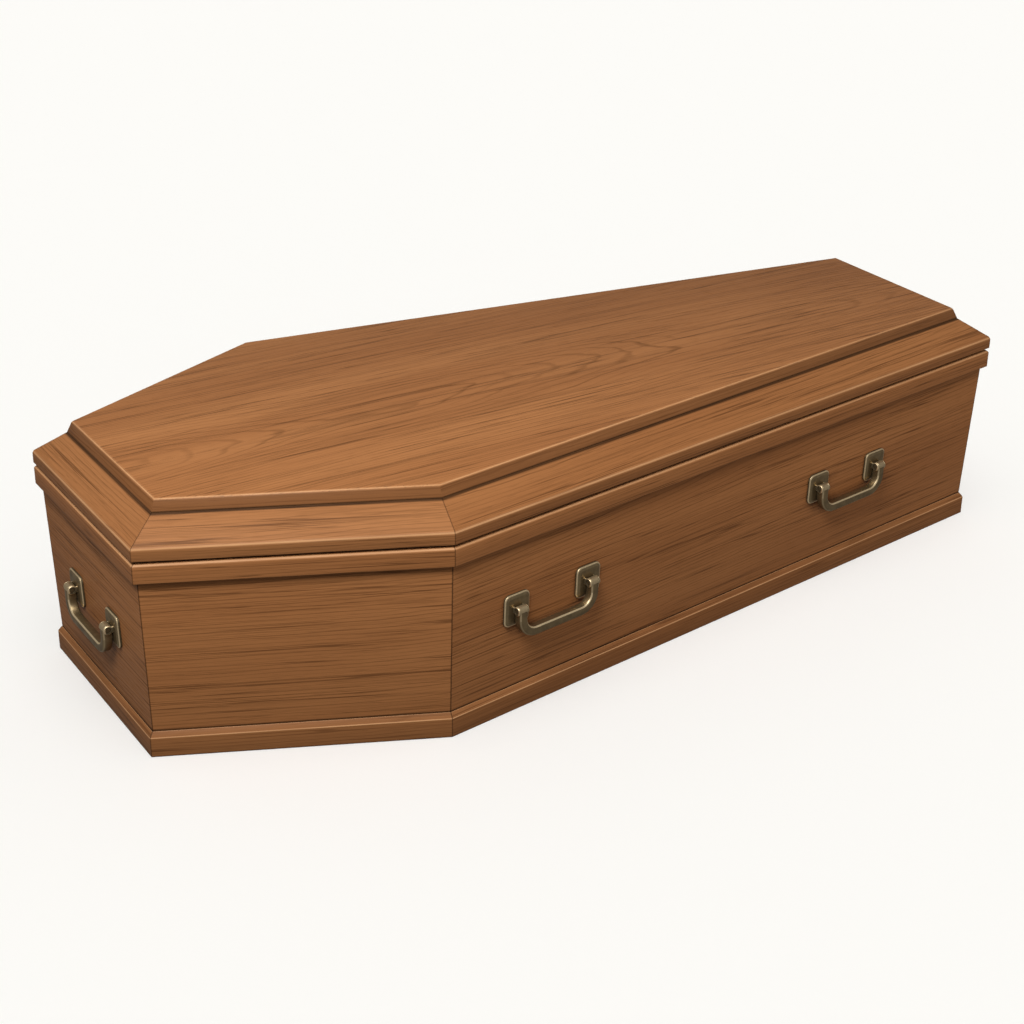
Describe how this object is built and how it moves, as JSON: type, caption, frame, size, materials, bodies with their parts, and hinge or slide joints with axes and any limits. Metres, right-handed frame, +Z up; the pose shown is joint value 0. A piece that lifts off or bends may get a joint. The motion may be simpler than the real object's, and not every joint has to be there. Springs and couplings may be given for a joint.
{
  "type": "coffin",
  "caption": "Hexagonal wooden coffin with a raised lift-off lid, mouldings under the rim and round the base, and antique brass drop handles.",
  "frame": {"origin": "on the surface that the coffin stands on, under the middle of its length and width", "axes": "+X from the head end to the foot end, +Y to the left of the person who lies in it, +Z up"},
  "size_m": [1.9214, 0.882, 0.4666],
  "materials": {
    "boards": "satin",
    "mouldings": "satin",
    "lid_frame": "satin",
    "lid_panel": "satin",
    "handles": "aged, satin"
  },
  "bodies": {
    "coffin": {"right_shoulder_board": "boards", "right_side_board": "boards", "foot_board": "boards", "left_side_board": "boards", "left_shoulder_board": "boards", "head_board": "boards", "floor_board": "boards", "top_moulding_right_shoulder": "mouldings", "top_moulding_right_side": "mouldings", "top_moulding_foot": "mouldings", "top_moulding_left_side": "mouldings", "top_moulding_left_shoulder": "mouldings", "top_moulding_head": "mouldings", "base_moulding_right_shoulder": "mouldings", "base_moulding_right_side": "mouldings", "base_moulding_foot": "mouldings", "base_moulding_left_side": "mouldings", "base_moulding_left_shoulder": "mouldings", "base_moulding_head": "mouldings", "lid_frame_right_shoulder": "lid_frame", "lid_frame_right_side": "lid_frame", "lid_frame_foot": "lid_frame", "lid_frame_left_side": "lid_frame", "lid_frame_left_shoulder": "lid_frame", "lid_frame_head": "lid_frame", "lid_panel": "lid_panel", "right_upper_handle_plate_1": "handles", "right_upper_handle_plate_2": "handles", "right_lower_handle_plate_1": "handles", "right_lower_handle_plate_2": "handles", "left_upper_handle_plate_1": "handles", "left_upper_handle_plate_2": "handles", "left_lower_handle_plate_1": "handles", "left_lower_handle_plate_2": "handles", "head_handle_plate_1": "handles", "head_handle_plate_2": "handles", "foot_handle_plate_1": "handles", "foot_handle_plate_2": "handles", "right_upper_handle_pin_1": "handles", "right_upper_handle_pin_2": "handles", "right_lower_handle_pin_1": "handles", "right_lower_handle_pin_2": "handles", "left_upper_handle_pin_1": "handles", "left_upper_handle_pin_2": "handles", "left_lower_handle_pin_1": "handles", "left_lower_handle_pin_2": "handles", "head_handle_pin_1": "handles", "head_handle_pin_2": "handles", "foot_handle_pin_1": "handles", "foot_handle_pin_2": "handles"},
    "right_upper_bail": {"right_upper_handle_bail": "handles"},
    "right_lower_bail": {"right_lower_handle_bail": "handles"},
    "left_upper_bail": {"left_upper_handle_bail": "handles"},
    "left_lower_bail": {"left_lower_handle_bail": "handles"},
    "head_bail": {"head_handle_bail": "handles"},
    "foot_bail": {"foot_handle_bail": "handles"}
  },
  "joints": [
    {"name": "right_upper_handle_swing", "type": "hinge", "parent": "coffin", "child": "right_upper_bail", "pos_m": [-0.2379, -0.41092, 0.2105], "axis": [-0.99, -0.1412, 0], "range_deg": [-2, 90]},
    {"name": "right_lower_handle_swing", "type": "hinge", "parent": "coffin", "child": "right_lower_bail", "pos_m": [0.53928, -0.30006, 0.2105], "axis": [-0.99, -0.1412, 0], "range_deg": [-2, 90]},
    {"name": "left_upper_handle_swing", "type": "hinge", "parent": "coffin", "child": "left_upper_bail", "pos_m": [-0.2379, 0.41092, 0.2105], "axis": [0.99, -0.1412, 0], "range_deg": [-2, 90]},
    {"name": "left_lower_handle_swing", "type": "hinge", "parent": "coffin", "child": "left_lower_bail", "pos_m": [0.53928, 0.30006, 0.2105], "axis": [0.99, -0.1412, 0], "range_deg": [-2, 90]},
    {"name": "head_handle_swing", "type": "hinge", "parent": "coffin", "child": "head_bail", "pos_m": [-0.95192, 0, 0.1935], "axis": [0, 1, 0], "range_deg": [-2, 90]},
    {"name": "foot_handle_swing", "type": "hinge", "parent": "coffin", "child": "foot_bail", "pos_m": [0.95192, 0, 0.1935], "axis": [0, -1, 0], "range_deg": [-2, 90]}
  ]
}
